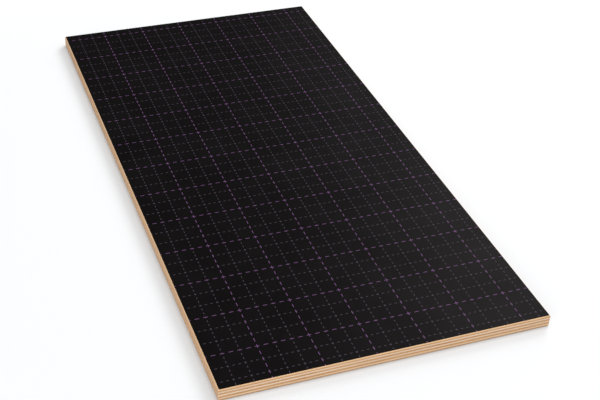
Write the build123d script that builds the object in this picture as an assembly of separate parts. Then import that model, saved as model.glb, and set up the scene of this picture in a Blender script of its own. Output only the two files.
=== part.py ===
"""Film-faced plywood sheet.

Seven rotary-cut veneers are glued with the grain of each crossing the next, a printed film is pressed
on the face, and the top rim is planed to a small bevel that cuts through the film into the face veneer.

Frame: millimetres, +Z up, +Y along the sheet, origin at the centre of the back face.
"""
import os

from build123d import *

# Trade size of the sheet
SHEET_WIDTH = 610.0
SHEET_LENGTH = 1220.0

# Veneers whose grain runs along the sheet
FACE_VENEER_THICKNESS = 4.3
INNER_PLY_THICKNESS = 3.4
BACK_VENEER_THICKNESS = 2.3

# Veneers whose grain runs across the sheet
CROSSBAND_THICKNESS = 3.4
CORE_PLY_THICKNESS = 3.4

# Film pressed on the face veneer
FILM_THICKNESS = 0.4

# Bevel planed round the top rim, measured along the face and down the edge alike
ARRIS_BEVEL = 2.0

# Lay-up from the back of the sheet to its face
LAY_UP = [
    ("back_veneer", BACK_VENEER_THICKNESS),
    ("crossband_lower", CROSSBAND_THICKNESS),
    ("inner_ply_lower", INNER_PLY_THICKNESS),
    ("core_ply", CORE_PLY_THICKNESS),
    ("inner_ply_upper", INNER_PLY_THICKNESS),
    ("crossband_upper", CROSSBAND_THICKNESS),
    ("face_veneer", FACE_VENEER_THICKNESS),
    ("face_film", FILM_THICKNESS),
]


def slab(base, thickness):
    """A flat board of the sheet's outline that starts at the height base."""
    outline = Plane.XY.offset(base) * Rectangle(SHEET_WIDTH, SHEET_LENGTH)
    return extrude(outline, amount=thickness)


def pressed_sheet(thickness):
    """The whole sheet as it leaves the press and the saw, with its top rim bevelled."""
    blank = slab(0, thickness)
    top_rim = blank.faces().sort_by(Axis.Z)[-1].edges()
    return chamfer(top_rim, ARRIS_BEVEL)


def layers():
    """Each layer of the lay-up, cut out of the sheet between its own two glue lines."""
    sheet = pressed_sheet(sum(thickness for _, thickness in LAY_UP))
    base = 0
    for name, thickness in LAY_UP:
        yield name, sheet & slab(base, thickness)
        base += thickness


os.makedirs("parts", exist_ok=True)
for name, solid in layers():
    export_step(solid, f"parts/{name}.step")
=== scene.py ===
"""Studio scene of a film-faced plywood sheet.

Seven sawn veneers lie under a near-black film that is printed with a dashed grid. Units are metres in
the row frame: +Z up, +Y along the sheet, origin at the centre of the back face.
"""

import logging
import math
from collections.abc import Sequence
from dataclasses import dataclass
from enum import Enum

import bpy
import numpy as np
from mathutils import Matrix, Vector


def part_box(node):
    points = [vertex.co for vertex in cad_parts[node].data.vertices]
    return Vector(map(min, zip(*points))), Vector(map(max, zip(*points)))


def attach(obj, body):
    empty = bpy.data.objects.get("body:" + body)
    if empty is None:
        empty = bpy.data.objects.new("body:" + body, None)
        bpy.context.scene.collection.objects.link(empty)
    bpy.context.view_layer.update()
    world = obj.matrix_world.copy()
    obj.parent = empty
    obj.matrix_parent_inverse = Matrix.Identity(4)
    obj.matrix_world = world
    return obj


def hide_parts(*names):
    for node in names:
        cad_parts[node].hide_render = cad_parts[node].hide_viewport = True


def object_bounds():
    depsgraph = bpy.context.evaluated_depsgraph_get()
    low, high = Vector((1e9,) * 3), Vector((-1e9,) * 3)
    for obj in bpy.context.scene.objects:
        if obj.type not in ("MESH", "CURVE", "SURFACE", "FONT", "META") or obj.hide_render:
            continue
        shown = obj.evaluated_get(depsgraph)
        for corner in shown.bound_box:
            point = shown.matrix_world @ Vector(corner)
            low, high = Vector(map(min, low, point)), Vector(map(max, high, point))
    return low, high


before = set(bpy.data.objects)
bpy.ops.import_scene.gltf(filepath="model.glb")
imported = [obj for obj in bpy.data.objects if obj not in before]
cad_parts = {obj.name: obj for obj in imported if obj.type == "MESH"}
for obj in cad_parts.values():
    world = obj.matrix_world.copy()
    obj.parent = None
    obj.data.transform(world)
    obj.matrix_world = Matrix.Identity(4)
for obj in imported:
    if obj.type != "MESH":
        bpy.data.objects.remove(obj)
CAD_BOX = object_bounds()

LOG = logging.getLogger("plywood_sheet")
MM = 0.001
BODY = "root"
BAKE_MAP = "OFBake"

Colour = tuple[float, float, float]
Sizes = tuple[float, float, float]
Range = tuple[float, float]
Rect = tuple[float, float, float, float]
Pairs = tuple[tuple[float, float], ...]
BLACK: Colour = (0.0, 0.0, 0.0)
WHITE: Colour = (1.0, 1.0, 1.0)

# Level that smooth noise keeps round
NOISE_MEAN = 0.5


def srgb(red: int, green: int, blue: int) -> Colour:
    """Turns an eight-bit display colour into the linear colour that shaders use.

    Args:
        red: Red level, 0 to 255.
        green: Green level, 0 to 255.
        blue: Blue level, 0 to 255.

    Returns:
        The linear colour.
    """
    levels = np.array([red, green, blue]) / 255
    linear = np.where(levels <= 0.04045, levels / 12.92, ((levels + 0.055) / 1.055) ** 2.4)
    return tuple(float(level) for level in linear)


class Wire:
    """A shader socket that takes part in Python arithmetic by adding Math nodes to its graph."""

    def __init__(self, graph: "Graph", socket: bpy.types.NodeSocket) -> None:
        """Keeps the graph and the output socket."""
        self.graph = graph
        self.socket = socket

    def also(self, output: str) -> "Wire":
        """Gives another output of the same node."""
        return Wire(self.graph, self.socket.node.outputs[output])

    def math(self, operation: str, *others: "Wire | float") -> "Wire":
        """Adds a Math node whose first operand is this wire.

        Args:
            operation: Name of the Math node's operation.
            others: The other operands.

        Returns:
            The node's result.
        """
        return self.graph.maths(operation, self, *others)

    def __add__(self, other: "Wire | float") -> "Wire":
        """Gives self + other."""
        return self.math("ADD", other)

    def __radd__(self, other: float) -> "Wire":
        """Gives other + self."""
        return self.math("ADD", other)

    def __sub__(self, other: "Wire | float") -> "Wire":
        """Gives self - other."""
        return self.math("SUBTRACT", other)

    def __rsub__(self, other: float) -> "Wire":
        """Gives other - self."""
        return self.graph.maths("SUBTRACT", other, self)

    def __mul__(self, other: "Wire | float") -> "Wire":
        """Gives self * other."""
        return self.math("MULTIPLY", other)

    def __rmul__(self, other: float) -> "Wire":
        """Gives other * self."""
        return self.math("MULTIPLY", other)

    def __truediv__(self, other: "Wire | float") -> "Wire":
        """Gives self / other."""
        return self.math("DIVIDE", other)

    def __rtruediv__(self, other: float) -> "Wire":
        """Gives other / self."""
        return self.graph.maths("DIVIDE", other, self)

    def __gt__(self, other: "Wire | float") -> "Wire":
        """Gives 1 where self is above other, and 0 elsewhere."""
        return self.math("GREATER_THAN", other)

    def __lt__(self, other: "Wire | float") -> "Wire":
        """Gives 1 where self is below other, and 0 elsewhere."""
        return self.math("LESS_THAN", other)

    def __abs__(self) -> "Wire":
        """Gives the size of self without its sign."""
        return self.math("ABSOLUTE")

    def most(self, other: "Wire | float") -> "Wire":
        """Gives the larger of self and other."""
        return self.math("MAXIMUM", other)

    def from_whole(self) -> "Wire":
        """Gives the distance from the nearest whole number, from 0 to a half."""
        return abs(self - self.math("ROUND"))

    def step(self, low: float, high: float) -> "Wire":
        """Goes smoothly from 0 at low to 1 at high.

        Args:
            low: Value of self where the step starts.
            high: Value of self where it ends; below low it makes the step fall.

        Returns:
            The smooth step.
        """
        rises = low < high
        settings = {"interpolation_type": "SMOOTHSTEP"}
        sockets = {
            "Value": self,
            "From Min": min(low, high),
            "From Max": max(low, high),
            "To Min": 0.0 if rises else 1.0,
            "To Max": 1.0 if rises else 0.0,
        }
        return self.graph.node("ShaderNodeMapRange", settings, sockets, "Result")


Value = Wire | float | Sequence[float]


class Graph:
    """The node tree of one material or of the world."""

    def __init__(self, tree: bpy.types.NodeTree) -> None:
        """Empties the tree."""
        self.tree = tree
        tree.nodes.clear()

    def feed(self, socket: bpy.types.NodeSocket, value: Value) -> None:
        """Links a wire to a socket, or sets the socket's own value.

        Args:
            socket: The input socket.
            value: A wire, a number, or the parts of a colour or vector.
        """
        if isinstance(value, Wire):
            self.tree.links.new(value.socket, socket)
        elif socket.type == "RGBA":
            socket.default_value = (*value[:3], 1.0)
        else:
            socket.default_value = value

    def node(
        self, kind: str, settings: dict[str, object], sockets: dict[str | int, Value], output: str | int = 0
    ) -> Wire | None:
        """Adds a node of any type.

        Args:
            kind: The node's type.
            settings: Properties, which are set first.
            sockets: Values or wires for the inputs, by name or index.
            output: Name or index of the output that is wanted.

        Returns:
            That output, or None for a node that has none.
        """
        made = self.tree.nodes.new(kind)
        for name, value in settings.items():
            setattr(made, name, value)
        for key, value in sockets.items():
            self.feed(made.inputs[key], value)
        return Wire(self, made.outputs[output]) if made.outputs else None

    def maths(self, operation: str, *operands: Wire | float) -> Wire:
        """Adds a Math node.

        Args:
            operation: Name of the operation.
            operands: Its operands in order.

        Returns:
            The result.
        """
        return self.node("ShaderNodeMath", {"operation": operation}, dict(enumerate(operands)))

    def split(self, vector: Wire) -> tuple[Wire, Wire, Wire]:
        """Gives the three parts of a vector."""
        x = self.node("ShaderNodeSeparateXYZ", {}, {0: vector}, "X")
        return x, x.also("Y"), x.also("Z")

    def join(self, x: Wire | float, y: Wire | float, z: Wire | float) -> Wire:
        """Makes a vector of three parts."""
        return self.node("ShaderNodeCombineXYZ", {}, {"X": x, "Y": y, "Z": z})

    def blend(self, share: Wire | float, first: Wire | Colour, second: Wire | Colour) -> Wire:
        """Mixes two colours.

        Args:
            share: Share of the second colour.
            first: The first colour.
            second: The second colour.

        Returns:
            The mixed colour.
        """
        settings = {"data_type": "RGBA", "blend_type": "MIX"}
        # The colour sockets share their names with others of the node, so they go by index
        return self.node("ShaderNodeMix", settings, {0: share, 6: first, 7: second}, 2)


class MaterialGraph(Graph):
    """A material with one Principled shader, and the coordinates that its patterns read."""

    def __init__(self, name: str) -> None:
        """Makes the material and its coordinate node.

        Args:
            name: The material's name.
        """
        self.material = bpy.data.materials.new(name)
        self.material.use_nodes = True
        super().__init__(self.material.node_tree)
        self.place = self.node("ShaderNodeTexCoord", {}, {}, "Object")
        self.facing = self.place.also("Normal")

    def relief(self, height: Wire, strength: float, depth: float) -> Wire:
        """Adds a Bump node.

        Args:
            height: Height of the surface, from 0 to 1.
            strength: Strength of the bump.
            depth: Depth of a height of 1, in metres.

        Returns:
            The bent normal.
        """
        return self.node("ShaderNodeBump", {}, {"Height": height, "Strength": strength, "Distance": depth})

    def surface(self, sockets: dict[str | int, Value]) -> bpy.types.Material:
        """Adds the Principled shader and the output.

        Args:
            sockets: Values or wires for the shader's inputs, by name.

        Returns:
            The finished material.
        """
        shader = self.node("ShaderNodeBsdfPrincipled", {}, sockets, "BSDF")
        self.node("ShaderNodeOutputMaterial", {}, {"Surface": shader})
        return self.material


@dataclass(frozen=True)
class Noise:
    """Smooth noise, with the length of a patch along each of the three parts of a place."""

    sizes: Sizes
    detail: float = 2.0
    roughness: float = 0.5

    def over(self, graph: Graph, parts: Sequence[Wire]) -> Wire:
        """Adds the noise to a graph.

        Args:
            graph: The graph.
            parts: The place, as three wires in metres.

        Returns:
            The noise, from 0 to 1 and mostly near a half.
        """
        place = graph.join(*(part / size for part, size in zip(parts, self.sizes)))
        sockets = {"Vector": place, "Scale": 1.0, "Detail": self.detail, "Roughness": self.roughness}
        return graph.node("ShaderNodeTexNoise", {"noise_dimensions": "3D"}, sockets, "Fac")


class Grain(Enum):
    """Which way a veneer's fibres run."""

    ALONG = "along the sheet"
    ACROSS = "across the sheet"


class Place(Enum):
    """Where a veneer lies in the lay-up."""

    BACK = "on the back"
    INSIDE = "between two veneers"
    FACE = "under the film"


@dataclass(frozen=True)
class LineStyle:
    """How one weight of grid line is printed.

    The dash count is for one cell of the grid, and a dash is centred on each crossing.
    """

    width: float
    dashes: int
    duty: float
    ink: Colour


@dataclass(frozen=True)
class GridPrint:
    """A square grid of dashed lines in which every third line is heavier.

    A line is one of the lighter ones where it stands clear of a heavier one, by a distance in cells.
    """

    pitch: float = 31.0 * MM
    group: int = 3
    clear: float = 0.5
    first_along: float = 93.0 * MM
    first_across: float = 78.0 * MM
    bleed: float = 0.25 * MM
    major: LineStyle = LineStyle(0.9 * MM, 2, 0.52, srgb(128, 89, 137))
    minor: LineStyle = LineStyle(1.05 * MM, 3, 0.44, srgb(79, 69, 82))

    def dashes(self, style: LineStyle, from_line: Wire, along: Wire) -> Wire:
        """Masks the dashes of one set of lines.

        Args:
            style: How the lines are printed.
            from_line: Distance from the nearest line of the set, in cells.
            along: Place along the lines, in cells from a crossing.

        Returns:
            1 on the dashes and 0 elsewhere, with edges as soft as the ink bleeds.
        """
        bleed = self.bleed / self.pitch
        half = style.width / self.pitch / 2
        reach = style.duty / style.dashes / 2
        from_dash = (along * style.dashes).from_whole() / style.dashes
        return from_line.step(half + bleed, half - bleed) * from_dash.step(reach + bleed, reach - bleed)

    def lines(self, across: Wire, along: Wire) -> tuple[Wire, Wire]:
        """Masks the lines that stand at whole values of across.

        Args:
            across: Place across the lines, in cells from a heavier line.
            along: Place along the lines, in cells from a crossing.

        Returns:
            The masks of the heavier and of the lighter lines.
        """
        from_heavy = (across / self.group).from_whole() * self.group
        light = self.dashes(self.minor, across.from_whole(), along) * (from_heavy > self.clear)
        return self.dashes(self.major, from_heavy, along), light

    def print_on(self, graph: Graph, film: Wire, x: Wire, y: Wire, cover: Wire) -> Wire:
        """Prints the grid over a colour.

        Args:
            graph: The material's graph.
            film: The colour under the print.
            x: Distance from the sheet's left edge, in metres.
            y: Distance from the sheet's near end, in metres.
            cover: How well the ink covers, from 0 to 1.

        Returns:
            The printed colour.
        """
        u = (x - self.first_along) / self.pitch
        v = (y - self.first_across) / self.pitch
        heavy_u, light_u = self.lines(u, v)
        heavy_v, light_v = self.lines(v, u)
        printed = graph.blend(light_u.most(light_v) * cover, film, self.minor.ink)
        return graph.blend(heavy_u.most(heavy_v) * cover, printed, self.major.ink)


@dataclass(frozen=True)
class FilmFinish:
    """Near-black resin film with a satin face, printed with the grid.

    The mottle is cloudy patches, the telegraph is the grain of the wood that shows through, and the speck
    is the tooth of the film.
    """

    name: str = "printed_film"
    black: Colour = srgb(9, 7, 7)
    bloom: Colour = srgb(13, 11, 11)
    bloom_range: Range = (0.35, 0.7)
    grid: GridPrint = GridPrint()
    ink_cover: float = 0.7
    ink_cover_gain: float = 0.5
    mottle: Noise = Noise((110.0 * MM, 110.0 * MM, 1.0), 3.0)
    telegraph: Noise = Noise((6.0 * MM, 200.0 * MM, 1.0))
    speck: Noise = Noise((1.1 * MM, 1.1 * MM, 1.0), 1.0)
    roughness: float = 0.33
    mottle_roughness: float = 0.08
    telegraph_roughness: float = 0.05
    specular: float = 0.0
    sheen: float = 0.045
    sheen_base_share: float = 0.8
    sheen_noise_share: float = 0.2
    telegraph_height_share: float = 0.6
    speck_height_share: float = 0.4
    relief_strength: float = 0.08
    relief_depth: float = 0.2 * MM

    def material(self, corner: Vector) -> bpy.types.Material:
        """Makes the film's material.

        Args:
            corner: The sheet's near left corner, where the print is measured from.

        Returns:
            The material.
        """
        graph = MaterialGraph(self.name)
        place = graph.split(graph.place)
        x, y, _ = place
        mottle = self.mottle.over(graph, place)
        telegraph = self.telegraph.over(graph, place)
        speck = self.speck.over(graph, place)
        film = graph.blend(mottle.step(*self.bloom_range), self.black, self.bloom)
        cover = self.ink_cover + self.ink_cover_gain * speck
        cloudy = self.mottle_roughness * (mottle - NOISE_MEAN)
        grainy = self.telegraph_roughness * (telegraph - NOISE_MEAN)
        noise_share = self.sheen_noise_share
        sheen_share = self.sheen_base_share + noise_share * mottle + noise_share * telegraph
        height = self.telegraph_height_share * telegraph + self.speck_height_share * speck
        return graph.surface(
            {
                "Base Color": self.grid.print_on(graph, film, x - corner.x, y - corner.y, cover),
                "Roughness": self.roughness + cloudy + grainy,
                "Specular IOR Level": self.specular,
                "Coat Weight": self.sheen * sheen_share,
                "Coat Roughness": self.roughness,
                "Normal": graph.relief(height, self.relief_strength, self.relief_depth),
            }
        )


@dataclass(frozen=True)
class LatheChecks:
    """Slanting lathe checks that a peeled veneer shows on its end grain, open towards its lower face.

    The widths are shares of the pitch, and the reach is how far up the veneer a check goes. The shade
    inside each open check is painted into the colour.
    """

    pitch: float = 4.6 * MM
    slant: float = 1.1
    width_range: Range = (0.12, 0.02)
    jitter: Noise = Noise((17.0 * MM, 33.0 * MM, 1.0), 1.0)
    jitter_pitches: float = 1.4
    reach: Noise = Noise((8.0 * MM, 40.0 * MM, 1.0), 1.0)
    reach_spread: float = 1.1
    reach_range: Range = (0.75, 0.35)
    painted_crack_shade: float = 0.75

    def sound_wood(self, graph: Graph, solid: tuple[Wire, Wire, Wire], share: Wire) -> Wire:
        """Masks the wood between the checks.

        Args:
            graph: The material's graph.
            solid: Place along the fibres, across them and through the veneer.
            share: Height inside the veneer, from 0 to 1.

        Returns:
            1 on sound wood, less in a check, where the colour is darkened as painted shade inside the
            crack.
        """
        _, cross, depth = solid
        place = (cross, depth, cross)
        jitter = self.jitter_pitches * self.jitter.over(graph, place)
        phase = (cross + self.slant * depth) / self.pitch + jitter
        reach = share + self.reach_spread * (self.reach.over(graph, place) - NOISE_MEAN)
        check = phase.from_whole().step(*self.width_range) * reach.step(*self.reach_range)
        # Painted shade: each open check is darkened in the colour
        return 1.0 - check * self.painted_crack_shade


@dataclass(frozen=True)
class FlameFigure:
    """Flame figure of a rotary-cut face: growth rings cut along their length, and fine pores."""

    hill: Noise = Noise((0.9, 180.0 * MM, 1.0), 2.0, 0.4)
    rings: float = 17.0
    ring_range: Range = (0.1, 0.95)
    ring_share: float = 0.75
    pore: Noise = Noise((70.0 * MM, 1.4 * MM, 1.0))
    pore_range: Range = (0.3, 0.7)
    pore_share: float = 0.25

    def tone(self, graph: Graph, fibre: Wire, cross: Wire) -> Wire:
        """Works out how light the face is.

        Args:
            graph: The material's graph.
            fibre: Place along the fibres.
            cross: Place across the fibres.

        Returns:
            The tone, from 0 to 1.
        """
        place = (fibre, cross, cross)
        ring = (self.hill.over(graph, place) * self.rings).from_whole() * 2.0
        pore = self.pore.over(graph, place)
        return self.ring_share * ring.step(*self.ring_range) + self.pore_share * pore.step(*self.pore_range)


@dataclass(frozen=True)
class VeneerFinish:
    """Bare sawn veneer: streaked where the fibres lie in the face, checked where they end in it.

    The noises have their sizes along the fibres, across them and through the veneer. The end range is of
    how far a face points along the fibres, and the planed-and-highlit and back ranges of how far it points
    up.
    Faces that point up take a lighter colour, which is partly the planed grain and partly a painted
    highlight.
    """

    name: str
    long_light: Colour
    long_dark: Colour
    end_light: Colour
    end_dark: Colour
    planed_and_highlit_light: Colour = srgb(228, 191, 151)
    planed_and_highlit_dark: Colour = srgb(215, 174, 133)
    glue: Colour = srgb(124, 80, 48)
    glue_width: float = 0.16 * MM
    glue_core_share: float = 0.25
    glue_cover: float = 0.42
    glue_cover_gain: float = 0.56
    streak: Noise = Noise((110.0 * MM, 2.6 * MM, 0.5 * MM), 3.0, 0.6)
    streak_share: float = 0.42
    ring: Noise = Noise((320.0 * MM, 38.0 * MM, 1.3 * MM))
    ring_share: float = 0.33
    drift: Noise = Noise((150.0 * MM, 60.0 * MM, 40.0 * MM))
    drift_share: float = 0.25
    tone_range: Range = (0.34, 0.64)
    end_range: Range = (0.45, 0.7)
    planed_and_highlit_range: Range = (0.25, 0.6)
    back_range: Range = (-0.6, -0.9)
    checks: LatheChecks = LatheChecks()
    flame: FlameFigure = FlameFigure()
    roughness: float = 0.72
    streak_roughness: float = 0.16
    specular: float = 0.22
    streak_height_share: float = 0.7
    ring_height_share: float = 0.3
    relief_strength: float = 0.25
    relief_depth: float = 0.25 * MM

    def material(self, ply: "VeneerPly") -> bpy.types.Material:
        """Makes the material of one veneer.

        Args:
            ply: The veneer that wears it.

        Returns:
            The material.
        """
        graph = MaterialGraph(f"{ply.node}_{self.name}")
        x, y, z = graph.split(graph.place)
        facing_x, facing_y, facing_z = graph.split(graph.facing)
        fibre, cross, end = (y, x, facing_y) if ply.grain is Grain.ALONG else (x, y, facing_x)
        solid = (fibre, cross, z + ply.seed)
        streak = self.streak.over(graph, solid)
        ring = self.ring.over(graph, solid)
        drift = self.drift.over(graph, solid)
        level = self.streak_share * streak + self.ring_share * ring + self.drift_share * drift
        tone = level.step(*self.tone_range)
        long_wood = graph.blend(tone, self.long_dark, self.long_light)
        sound = self.checks.sound_wood(graph, solid, ply.depth_share(z))
        # End grain is darker in its lathe checks, which is painted shade inside the cracks
        end_wood = graph.blend(tone * sound, self.end_dark, self.end_light)
        wood = graph.blend(abs(end).step(*self.end_range), long_wood, end_wood)
        if ply.place is Place.FACE:
            # Faces that point up, on the bevel, get a lighter colour: partly the planed grain, partly a
            # painted highlight where light catches the bevel
            planed = graph.blend(tone, self.planed_and_highlit_dark, self.planed_and_highlit_light)
            wood = graph.blend(facing_z.step(*self.planed_and_highlit_range), wood, planed)
        for joint in ply.glued_faces():
            near = abs(z - joint).step(self.glue_width, self.glue_core_share * self.glue_width)
            wood = graph.blend(near * (self.glue_cover + self.glue_cover_gain * drift), wood, self.glue)
        if ply.place is Place.BACK:
            figure = graph.blend(self.flame.tone(graph, fibre, cross), self.long_dark, self.long_light)
            wood = graph.blend(facing_z.step(*self.back_range), wood, figure)
        height = self.streak_height_share * streak + self.ring_height_share * ring
        return graph.surface(
            {
                "Base Color": wood,
                "Roughness": self.roughness + self.streak_roughness * (streak - NOISE_MEAN),
                "Specular IOR Level": self.specular,
                "Normal": graph.relief(height, self.relief_strength, self.relief_depth),
            }
        )


TAN = VeneerFinish(
    "tan_wood",
    long_light=srgb(226, 186, 146),
    long_dark=srgb(206, 162, 120),
    end_light=srgb(216, 166, 117),
    end_dark=srgb(188, 135, 88),
)
GOLD = VeneerFinish(
    "golden_wood",
    long_light=srgb(236, 206, 172),
    long_dark=srgb(216, 180, 140),
    end_light=srgb(216, 180, 140),
    end_dark=srgb(166, 124, 88),
)
PALE = VeneerFinish(
    "pale_wood",
    long_light=srgb(237, 214, 190),
    long_dark=srgb(219, 189, 158),
    end_light=srgb(212, 182, 151),
    end_dark=srgb(158, 122, 92),
)


@dataclass(frozen=True)
class Outline:
    """The sheet's plan: a rectangle with hardly rounded corners, walked round as a ring of columns."""

    half_width: float
    half_length: float
    corner_radius: float = 0.7 * MM
    column_pitch: float = 2.5 * MM
    corner_steps: int = 4

    @property
    def run_columns(self) -> tuple[int, int]:
        """Columns on a run across the sheet and on a run along it.

        Returns:
            The two counts.
        """
        across = round(2 * self.half_width / self.column_pitch)
        along = round(2 * self.half_length / self.column_pitch)
        return across, along

    @property
    def columns(self) -> int:
        """Columns on the whole ring."""
        return 2 * sum(self.run_columns) + 4 * self.corner_steps

    def ring(self, inset: float = 0.0) -> tuple[np.ndarray, np.ndarray]:
        """Walks round the outline from the near left corner, against the clock.

        Args:
            inset: How far inside the outline the ring lies.

        Returns:
            The ring's points and their outward directions, one row for each column.
        """
        wide = self.half_width - inset - self.corner_radius
        long = self.half_length - inset - self.corner_radius
        centres = np.array([(wide, -long), (wide, long), (-wide, long), (-wide, -long)])
        points, ways = [], []
        for side in range(4):
            start, end = centres[side - 1], centres[side]
            angle = (side - 1) * math.pi / 2
            count = self.run_columns[side % 2]
            shares = np.arange(count)[:, None] / count
            turns = angle + math.pi / 2 * np.arange(self.corner_steps) / self.corner_steps
            run_way = np.tile([math.cos(angle), math.sin(angle)], (count, 1))
            arc_way = np.stack([np.cos(turns), np.sin(turns)], axis=1)
            points += [start + (end - start) * shares + self.corner_radius * run_way]
            points += [end + self.corner_radius * arc_way]
            ways += [run_way, arc_way]
        return np.concatenate(points), np.concatenate(ways)

    def rungs(self) -> tuple[np.ndarray, np.ndarray]:
        """Pairs the columns of the left and right runs, from the near end to the far one.

        Returns:
            Ring indices on the left and on the right.
        """
        across, along = self.run_columns
        right = across + self.corner_steps + np.arange(along + 1)
        left = self.columns - self.corner_steps - np.arange(along + 1)
        return left, right


@dataclass(frozen=True)
class BakeLayout:
    """Where a piece's faces lie on its map: walls in stacked strips, and a place for each flat face."""

    strips: int
    walls: Rect
    top: Rect
    bottom: Rect
    gap: float = 0.003
    turned: bool = False


EDGE_MAP = BakeLayout(
    strips=15,
    walls=(0.004, 0.06, 0.996, 0.996),
    top=(0.51, 0.004, 0.99, 0.05),
    bottom=(0.01, 0.004, 0.49, 0.05),
)
BACK_MAP = BakeLayout(
    strips=7,
    walls=(0.004, 0.55, 0.996, 0.996),
    top=(0.004, 0.515, 0.996, 0.54),
    bottom=(0.004, 0.004, 0.996, 0.505),
    turned=True,
)
FACE_MAP = BakeLayout(
    strips=2,
    walls=(0.004, 0.002, 0.996, 0.03),
    top=(0.004, 0.036, 0.996, 0.976),
    bottom=(0.004, 0.982, 0.996, 0.996),
)


@dataclass(frozen=True)
class Relief:
    """How uneven a cut wall is, in metres of depth."""

    recess: float
    wander: float = 0.10 * MM
    chatter: float = 0.05 * MM
    wander_pitch: float = 170.0 * MM
    chatter_pitch: float = 8.0 * MM
    fewest_knots: int = 4

    def depths(self, columns: int, length: float, seed: int) -> np.ndarray:
        """Works out the wall's depth at each column.

        Args:
            columns: Number of columns round the sheet.
            length: Length of the ring.
            seed: Seed of the draw.

        Returns:
            How far each column lies inside the true wall.
        """
        draw = np.random.default_rng(seed)
        wander = self.ripple(columns, length / self.wander_pitch, draw)
        chatter = self.ripple(columns, length / self.chatter_pitch, draw)
        return self.recess + self.wander * wander + self.chatter * chatter

    def ripple(self, columns: int, bumps: float, draw: np.random.Generator) -> np.ndarray:
        """Draws a smooth closed ripple.

        Args:
            columns: Number of columns.
            bumps: About how many bumps there are.
            draw: Where the random numbers come from.

        Returns:
            Values from 0 to 1, one for each column.
        """
        knots = draw.random(max(self.fewest_knots, round(bumps)))
        place = np.arange(columns) / columns * len(knots)
        low = np.floor(place).astype(int)
        share = place - low
        share = share * share * (3 - 2 * share)
        return knots[low % len(knots)] * (1 - share) + knots[(low + 1) % len(knots)] * share


@dataclass
class CutBoard:
    """A board of the sheet's outline with a cut wall round it, as one closed mesh.

    Each row of the wall has an inset and a height. Rows share their unevenness in pairs.
    """

    name: str
    outline: Outline
    rows: list[tuple[float, float]]
    relief: Relief
    layout: BakeLayout
    seed: int
    seed_stride: int = 100
    rows_alike: int = 2

    def build(self) -> bpy.types.Object:
        """Makes the mesh and its map.

        Returns:
            The new object, not yet on a body.
        """
        corners = self.corners()
        walls, wall_map = self.walls()
        caps, cap_map = self.caps(corners)
        mesh = bpy.data.meshes.new(self.name)
        mesh.from_pydata(corners.tolist(), [], walls + caps)
        mesh.validate()
        layer = mesh.uv_layers.new(name=BAKE_MAP)
        layer.data.foreach_set("uv", np.concatenate([wall_map, cap_map]).astype(np.float32).ravel())
        made = bpy.data.objects.new(self.name, mesh)
        bpy.context.scene.collection.objects.link(made)
        return made

    def corners(self) -> np.ndarray:
        """Places every corner of the mesh, row after row from the bottom.

        Returns:
            The corners, one for each column of each row.
        """
        points, ways = self.outline.ring()
        length = np.linalg.norm(np.roll(points, -1, axis=0) - points, axis=1).sum()
        rows = []
        for number, (inset, height) in enumerate(self.rows):
            seed = self.seed * self.seed_stride + number // self.rows_alike
            depths = self.relief.depths(self.outline.columns, length, seed)
            ring, _ = self.outline.ring(inset)
            ring = ring - ways * depths[:, None]
            rows.append(np.column_stack([ring, np.full(len(ring), height)]))
        return np.concatenate(rows)

    def walls(self) -> tuple[list[list[int]], np.ndarray]:
        """Makes the faces between the rows, and lays them on the map in strips of equal length.

        Returns:
            The faces, and the place on the map of each face's corners.
        """
        count = self.outline.columns
        column = np.arange(count)
        beside = (column + 1) % count
        heights = np.array([inset + height for inset, height in self.rows])
        shares = (heights - heights[0]) / (heights[-1] - heights[0])
        left, low, right, high = self.layout.walls
        strips, gap = self.layout.strips, self.layout.gap
        strip = column * strips // count
        # First column of each strip and of the next, with the division rounded up
        first, last = (-(-number * count // strips) for number in (strip, strip + 1))
        u0, u1 = (left + (right - left) * (at - first) / (last - first) for at in (column, column + 1))
        tall = (high - low) / strips
        levels = [low + strip * tall + gap + (tall - 2 * gap) * share for share in shares]
        faces, places = [], []
        for row, (v0, v1) in enumerate(zip(levels, levels[1:])):
            a, b = row * count, (row + 1) * count
            faces += np.stack([a + column, a + beside, b + beside, b + column], axis=1).tolist()
            square = [(u0, v0), (u1, v0), (u1, v1), (u0, v1)]
            places.append(np.stack([np.stack(corner, axis=1) for corner in square], axis=1).reshape(-1, 2))
        return faces, np.concatenate(places)

    def caps(self, corners: np.ndarray) -> tuple[list[list[int]], np.ndarray]:
        """Closes the mesh below and above, with rungs from side to side.

        Args:
            corners: The mesh's corners.

        Returns:
            The faces, and the place on the map of each face's corners.
        """
        left, right = self.outline.rungs()
        count = self.outline.columns
        near_end = [*range(left[0], count), *range(right[0] + 1)]
        far_end = [*range(right[-1], left[-1] + 1)]
        rungs = np.stack([left[:-1], right[:-1], right[1:], left[1:]], axis=1) % count
        top = [*rungs.tolist(), near_end, far_end]
        start = (len(self.rows) - 1) * count
        faces = [face[::-1] for face in top]
        faces += [[start + index for index in face] for face in top]
        flat = corners[:, :2] / (2 * np.array([self.outline.half_width, self.outline.half_length])) + 0.5
        places = []
        for number, face in enumerate(faces):
            rect = np.array(self.layout.bottom if number < len(top) else self.layout.top)
            share = flat[face][:, ::-1] if self.layout.turned else flat[face]
            places.append(rect[:2] + share * (rect[2:] - rect[:2]))
        return faces, np.concatenate(places)


@dataclass
class Layer:
    """One layer of the sheet, built in the place of a node of the frame."""

    node: str
    slot: str
    seed: int

    def dress(self, made: bpy.types.Object, material: bpy.types.Material) -> None:
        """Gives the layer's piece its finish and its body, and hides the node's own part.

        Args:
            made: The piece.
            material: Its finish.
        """
        made.data.materials.append(material)
        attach(made, BODY)
        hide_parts(self.node)


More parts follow.
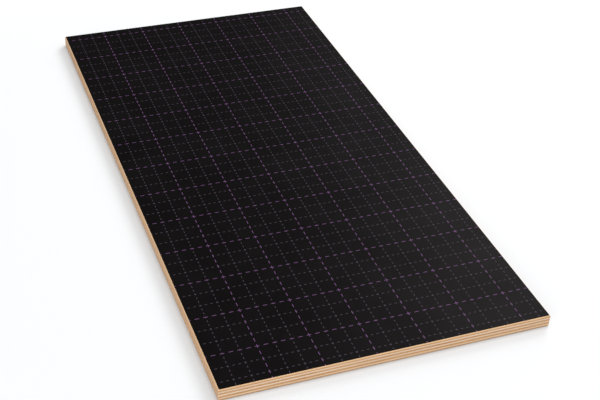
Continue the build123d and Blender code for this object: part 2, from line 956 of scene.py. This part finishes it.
@dataclass
class VeneerPly(Layer):
    """One veneer of the lay-up, grooved a little at its glue lines.

    The back veneer has a worn lower arris, and the face veneer carries the bevel, which it turns into
    softly. Each pair of shares of the arris gives the inset and the height of a row of the wall.
    """

    grain: Grain
    finish: VeneerFinish
    recess: float
    place: Place = Place.INSIDE
    groove: float = 0.10 * MM
    groove_rise: float = 0.25 * MM
    arris: float = 0.50 * MM
    arris_shares: Pairs = ((1.0, 0.0), (0.25, 0.35), (0.0, 1.2))
    middle_shares: tuple[float, ...] = (0.4, 0.7)
    turn_share: float = 0.25
    turn_inset_share: float = 0.12
    turn_ease: float = 0.05 * MM
    bevel_ease: float = 0.03 * MM

    def depth_share(self, z: Wire) -> Wire:
        """Gives a height inside the veneer, 0 on its lower face and 1 on its upper one."""
        low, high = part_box(self.node)
        return (z - low.z) / (high.z - low.z)

    def glued_faces(self) -> list[float]:
        """Heights of the faces that are glued to a neighbour, below and above."""
        low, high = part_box(self.node)
        return [high.z] if self.place is Place.BACK else [low.z, high.z]

    def rows(self, sheet: "Sheet") -> list[tuple[float, float]]:
        """Lists the wall's rows from the bottom.

        Args:
            sheet: The sheet, which knows the bevel.

        Returns:
            The inset and the height of each row.
        """
        low, high = (corner.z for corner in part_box(self.node))
        start = [(self.groove, low), (0.0, low + self.groove_rise)]
        if self.place is Place.BACK:
            start = [(inset * self.arris, low + rise * self.arris) for inset, rise in self.arris_shares]
        if self.place is not Place.FACE:
            middle = [(0.0, low + share * (high - low)) for share in self.middle_shares]
            return [*start, *middle, (0.0, high - self.groove_rise), (self.groove, high)]
        foot = sheet.bevel_foot
        turn = self.turn_share * sheet.bevel
        bend = (self.turn_inset_share * turn + self.turn_ease, foot)
        run = [(0.0, foot - turn), bend, (turn + self.bevel_ease, foot + turn)]
        return [*start, (0.0, (low + foot) / 2), *run, (high - foot, high)]

    def build(self, sheet: "Sheet", layout: BakeLayout) -> bpy.types.Object:
        """Builds the veneer and dresses it.

        Args:
            sheet: The sheet that it belongs to.
            layout: Where its faces lie on its map.

        Returns:
            The finished piece.
        """
        name = f"{self.node}_sawn"
        board = CutBoard(name, sheet.outline, self.rows(sheet), Relief(self.recess), layout, self.seed)
        made = board.build()
        self.dress(made, self.finish.material(self))
        return made


@dataclass
class PrintedFilm(Layer):
    """The film on the face, planed back round its rim.

    Each pair of shares of its thickness gives the inset and the height of a row of the rim.
    """

    node: str = "face_film"
    slot: str = "film"
    seed: int = 90
    finish: FilmFinish = FilmFinish()
    relief: Relief = Relief(0.0, 0.0, 0.02 * MM)
    rim_shares: Pairs = ((0.0, 0.0), (0.7, 0.7), (1.1, 0.93), (1.7, 1.0))

    def build(self, sheet: "Sheet", layout: BakeLayout) -> bpy.types.Object:
        """Builds the film and dresses it.

        Args:
            sheet: The sheet that it belongs to.
            layout: Where its faces lie on its map.

        Returns:
            The finished piece.
        """
        low, high = (corner.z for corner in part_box(self.node))
        thick = high - low
        foot = low - sheet.bevel_foot
        rows = [(foot + inset * thick, low + rise * thick) for inset, rise in self.rim_shares]
        name = f"{self.node}_printed"
        made = CutBoard(name, sheet.outline, rows, self.relief, layout, self.seed).build()
        self.dress(made, self.finish.material(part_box("back_veneer")[0]))
        return made


LAY_UP = (
    VeneerPly("back_veneer", "back_wood", 1, Grain.ALONG, TAN, 0.02 * MM, Place.BACK),
    VeneerPly("crossband_lower", "cross_grain_wood", 2, Grain.ACROSS, GOLD, 0.0),
    VeneerPly("inner_ply_lower", "long_grain_wood", 3, Grain.ALONG, TAN, 0.05 * MM),
    VeneerPly("core_ply", "cross_grain_wood", 4, Grain.ACROSS, PALE, 0.0),
    VeneerPly("inner_ply_upper", "long_grain_wood", 5, Grain.ALONG, TAN, 0.06 * MM),
    VeneerPly("crossband_upper", "cross_grain_wood", 6, Grain.ACROSS, PALE, 0.01 * MM),
    VeneerPly("face_veneer", "face_wood", 7, Grain.ALONG, TAN, 0.0, Place.FACE),
)


@dataclass(frozen=True)
class Sheet:
    """The whole sheet: the lay-up of veneers and the film, with the sizes that they share."""

    outline: Outline
    bevel_foot: float
    bevel: float

    @classmethod
    def from_frame(cls) -> "Sheet":
        """Reads the sheet's sizes from the frame.

        Returns:
            The sheet, not yet built.
        """
        _, high = CAD_BOX
        film_low, film_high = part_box("face_film")
        bevel_foot = film_low.z - (high.x - film_high.x)
        return cls(Outline(high.x, high.y), bevel_foot, high.z - bevel_foot)

    def build(self) -> list[bpy.types.Object]:
        """Builds every piece, from the back veneer up to the film.

        Returns:
            The pieces.
        """
        pieces = [ply.build(self, BACK_MAP if ply.place is Place.BACK else EDGE_MAP) for ply in LAY_UP]
        return [*pieces, PrintedFilm().build(self, FACE_MAP)]


def direction(azimuth: float, elevation: float) -> Vector:
    """Points from the sheet to where something stands.

    Args:
        azimuth: Degrees from the near side (-Y) towards the right (+X).
        elevation: Degrees above the floor.

    Returns:
        The unit direction.
    """
    turn, rise = math.radians(azimuth), math.radians(elevation)
    return Vector((math.sin(turn) * math.cos(rise), -math.cos(turn) * math.cos(rise), math.sin(rise)))


@dataclass(frozen=True)
class Lamp:
    """A square soft box that looks at the sheet.

    The share is how bright it alone makes a white surface that faces it.
    """

    name: str
    azimuth: float
    elevation: float
    distance: float
    size: float
    share: float
    tint: Colour = WHITE

    def build(self) -> bpy.types.Object:
        """Adds the lamp to the scene.

        Returns:
            The lamp.
        """
        light = bpy.data.lights.new(self.name, "AREA")
        light.shape = "SQUARE"
        light.size = self.size
        light.color = self.tint
        light.energy = self.share * math.pi**2 * self.distance**2
        lamp = bpy.data.objects.new(self.name, light)
        way = direction(self.azimuth, self.elevation)
        lamp.location = way * self.distance
        lamp.rotation_euler = way.to_track_quat("Z", "Y").to_euler()
        bpy.context.scene.collection.objects.link(lamp)
        return lamp


@dataclass(frozen=True)
class Studio:
    """Grey floor that shows white, white surroundings and four soft boxes.

    A glow that only the camera sees lifts the floor. It fades up to full white with distance, and dies
    away within the contact's reach of the sheet, where that dimming paints a contact shadow.
    """

    floor_half: float = 40.0
    floor_drop: float = 1.0 * MM
    floor_colour: Colour = (0.5, 0.51, 0.52)
    floor_lift: float = 0.385
    fade: Range = (0.7, 2.6)
    contact_reach: float = 8.0 * MM
    ambient: float = 0.42
    ambient_tint: Colour = (0.93, 0.97, 1.0)
    lamps: tuple[Lamp, ...] = (
        Lamp("key_lamp", 129.0, 39.0, 6.0, 2.5, 0.55, (1.0, 0.95, 0.94)),
        Lamp("top_lamp", 76.0, 53.0, 6.0, 4.4, 0.395),
        Lamp("fill_lamp", -45.0, 18.0, 6.0, 4.0, 0.64),
        Lamp("rim_lamp", 143.0, 21.0, 6.0, 2.4, 0.23),
    )

    def build(self) -> list[bpy.types.Object]:
        """Adds the floor, the world and the lamps.

        Returns:
            The floor and the lamps.
        """
        floor = self.floor()
        self.world()
        return [floor, *(lamp.build() for lamp in self.lamps)]

    @staticmethod
    def seen(graph: Graph) -> Wire:
        """Gives 1 for what the camera sees, straight or in a reflection or through glass."""
        camera = graph.node("ShaderNodeLightPath", {}, {}, "Is Camera Ray")
        return camera.most(camera.also("Is Glossy Ray")).most(camera.also("Is Transmission Ray"))

    def floor(self) -> bpy.types.Object:
        """Adds the floor, which shows white, keeps the sheet's shadow and has a painted contact shadow at
        the sheet's foot.

        Returns:
            The floor.
        """
        mesh = bpy.data.meshes.new("floor")
        half, low = self.floor_half, -self.floor_drop
        ring = [(-half, -half, low), (half, -half, low), (half, half, low), (-half, half, low)]
        mesh.from_pydata(ring, [], [(0, 1, 2, 3)])
        graph = MaterialGraph("floor")
        distance = graph.node("ShaderNodeVectorMath", {"operation": "LENGTH"}, {0: graph.place}, "Value")
        lift = self.floor_lift + distance.step(*self.fade) * (1.0 - self.floor_lift)
        # Painted contact shadow: ambient occlusion dims the camera-only glow close to the sheet
        clear = graph.node("ShaderNodeAmbientOcclusion", {}, {"Distance": self.contact_reach}, "AO")
        mesh.materials.append(
            graph.surface(
                {
                    "Base Color": self.floor_colour,
                    "Roughness": 1.0,
                    "Specular IOR Level": 0.0,
                    "Emission Color": graph.blend(self.seen(graph) * lift * clear, BLACK, WHITE),
                    "Emission Strength": 1.0,
                }
            )
        )
        made = bpy.data.objects.new("floor", mesh)
        bpy.context.scene.collection.objects.link(made)
        return made

    def world(self) -> None:
        """Adds the world: white to the eye, and dimmer as a light."""
        world = bpy.data.worlds.new("studio")
        world.use_nodes = True
        bpy.context.scene.world = world
        graph = Graph(world.node_tree)
        seen = self.seen(graph)
        colour = graph.blend(seen, self.ambient_tint, WHITE)
        strength = self.ambient + seen * (1.0 - self.ambient)
        shader = graph.node("ShaderNodeBackground", {}, {"Color": colour, "Strength": strength})
        graph.node("ShaderNodeOutputWorld", {}, {"Surface": shader})


@dataclass(frozen=True)
class PhotoCamera:
    """The camera at the photograph's viewing angle, for a frame of 600 by 400.

    The lens and the sensor are in millimetres, and the shift is in shares of the frame's width.
    """

    azimuth: float = -20.31
    elevation: float = 36.53
    distance: float = 2.289
    target: tuple[float, float, float] = (-0.0760, -0.1109, 0.0)
    roll: float = 2.315
    lens: float = 68.79
    sensor: float = 36.0
    shift: tuple[float, float] = (0.08, 0.0)

    def build(self) -> bpy.types.Object:
        """Adds the camera and makes it the scene's own.

        Returns:
            The camera.
        """
        data = bpy.data.cameras.new("photo_camera")
        data.sensor_fit = "HORIZONTAL"
        data.sensor_width = self.sensor
        data.lens = self.lens
        data.shift_x, data.shift_y = self.shift
        camera = bpy.data.objects.new("photo_camera", data)
        back = direction(self.azimuth, self.elevation)
        level = (-back).to_track_quat("-Z", "Y").to_matrix()
        turn = level @ Matrix.Rotation(math.radians(self.roll), 3, "Z")
        place = Vector(self.target) + back * self.distance
        camera.matrix_world = Matrix.Translation(place) @ turn.to_4x4()
        bpy.context.scene.collection.objects.link(camera)
        bpy.context.scene.camera = camera
        return camera


def main() -> None:
    """Builds the sheet, the studio and the camera, and reports each piece."""
    logging.basicConfig(level=logging.INFO, format="%(name)s: %(message)s")
    bpy.context.scene.view_settings.view_transform = "Standard"
    for piece in Sheet.from_frame().build():
        LOG.info("%s: %d faces", piece.name, len(piece.data.polygons))
    for piece in [*Studio().build(), PhotoCamera().build()]:
        LOG.info("%s is set up", piece.name)


if __name__ == "__main__":
    main()
